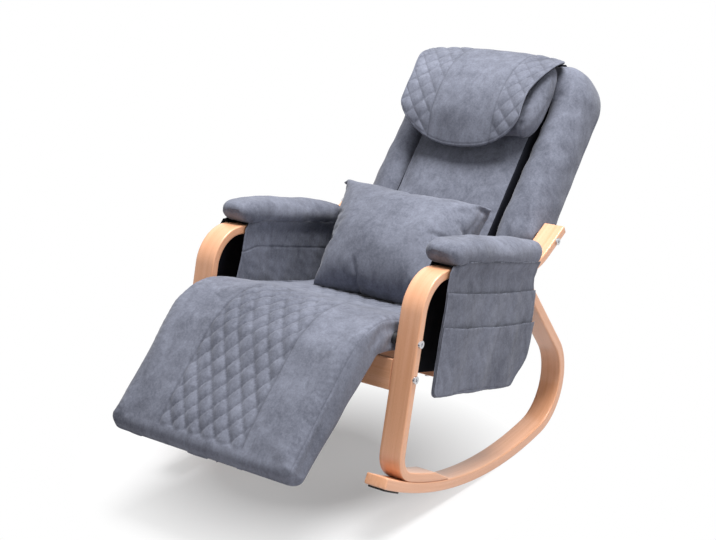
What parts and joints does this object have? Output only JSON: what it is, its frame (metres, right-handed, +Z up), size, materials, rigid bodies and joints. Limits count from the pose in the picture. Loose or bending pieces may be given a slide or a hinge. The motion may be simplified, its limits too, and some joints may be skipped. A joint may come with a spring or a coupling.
{
  "type": "massage rocking chair",
  "caption": "Bentwood rocking chair with padded seat, tilting leg rest, massage back, neck pillow with flap, lumbar pillow and padded arms with side pockets.",
  "frame": {"origin": "on the floor, midway between the rockers, on the line where the rockers touch it at rest", "axes": "+Z up, -Y to the front, +X to the sitter's left"},
  "size_m": [0.664, 1.3095, 0.8889],
  "materials": {
    "beech": "satin",
    "grey_suede": "matte",
    "black_lining": "matte",
    "black_steel": "satin",
    "zinc_steel": "satin",
    "motor_metal": "satin",
    "black_rubber": "matte",
    "black_plastic": "matte",
    "ball_plastic": "gloss",
    "heater_cloth": "matte"
  },
  "bodies": {
    "chair": {"arm_tip_bolts": "zinc_steel", "back_heating_pad": "heater_cloth", "back_mat": "grey_suede", "back_rear_cover": "grey_suede", "back_shell": "grey_suede", "back_vibration_motors": "motor_metal", "control_box": "black_plastic", "flap_strip": "black_lining", "front_rail": "beech", "hinge_pins": "zinc_steel", "kneading_case_front": "black_plastic", "kneading_case_rear": "black_plastic", "kneading_motor": "motor_metal", "left_arm_leg": "beech", "left_arm_pad": "grey_suede", "left_inner_flap": "grey_suede", "left_lower_pocket": "grey_suede", "left_outer_flap": "grey_suede", "left_pad_base": "black_plastic", "left_ratchet_plate": "zinc_steel", "left_rocker": "beech", "left_rocker_rubber": "black_rubber", "left_upper_pocket": "grey_suede", "leg_bolts": "zinc_steel", "neck_pillow": "grey_suede", "power_inlet": "black_plastic", "right_arm_leg": "beech", "right_arm_pad": "grey_suede", "right_inner_flap": "grey_suede", "right_lower_pocket": "grey_suede", "right_outer_flap": "grey_suede", "right_pad_base": "black_plastic", "right_ratchet_plate": "zinc_steel", "right_rocker": "beech", "right_rocker_rubber": "black_rubber", "right_upper_pocket": "grey_suede", "rocker_bolts": "zinc_steel", "seat_dust_cover": "black_lining", "seat_pad": "grey_suede", "seat_rail": "beech", "seat_rail_screws": "zinc_steel", "steel_frame": "black_steel"},
    "leg_rest": {"leg_rest_frame": "black_steel", "leg_rest_pad": "grey_suede", "leg_rest_dust_cover": "black_lining"},
    "neck_flap": {"neck_flap": "grey_suede"},
    "lumbar_pillow": {"lumbar_pillow": "grey_suede", "lumbar_motors": "motor_metal", "lumbar_heating_pad": "heater_cloth"},
    "left_kneader": {"left_kneading_wheel": "black_plastic", "left_kneading_head": "black_plastic", "left_kneading_balls": "ball_plastic"},
    "right_kneader": {"right_kneading_wheel": "black_plastic", "right_kneading_head": "black_plastic", "right_kneading_balls": "ball_plastic"},
    "worm": {"worm_shaft": "zinc_steel"}
  },
  "joints": [
    {"name": "leg_rest_tilt", "type": "hinge", "parent": "chair", "child": "leg_rest", "pos_m": [0, -0.43231, 0.40697], "axis": [-1, 0, 0], "range_deg": [-46, 57]},
    {"name": "neck_flap_lift", "type": "hinge", "parent": "chair", "child": "neck_flap", "pos_m": [0, 0.53224, 0.8611], "axis": [-1, 0, 0], "range_deg": [0, 150]},
    {"name": "lumbar_pillow_lift", "type": "slide", "parent": "chair", "child": "lumbar_pillow", "axis": [0, -0.749, 0.6626], "range_m": [0, 0.3]},
    {"name": "left_kneader_spin", "type": "hinge", "parent": "chair", "child": "left_kneader", "pos_m": [0.055, 0.41176, 0.78076], "axis": [0, -0.749, 0.6626], "continuous": true},
    {"name": "right_kneader_spin", "type": "hinge", "parent": "chair", "child": "right_kneader", "pos_m": [-0.055, 0.41176, 0.78076], "axis": [0, -0.749, 0.6626], "continuous": true},
    {"name": "worm_spin", "type": "hinge", "parent": "chair", "child": "worm", "pos_m": [0, 0.40876, 0.78341], "axis": [0, 0.6626, 0.749], "continuous": true}
  ],
  "couplings": [
    {"joint": "right_kneader_spin", "follows": "left_kneader_spin", "ratio": -1},
    {"joint": "worm_spin", "follows": "left_kneader_spin", "ratio": 20}
  ]
}
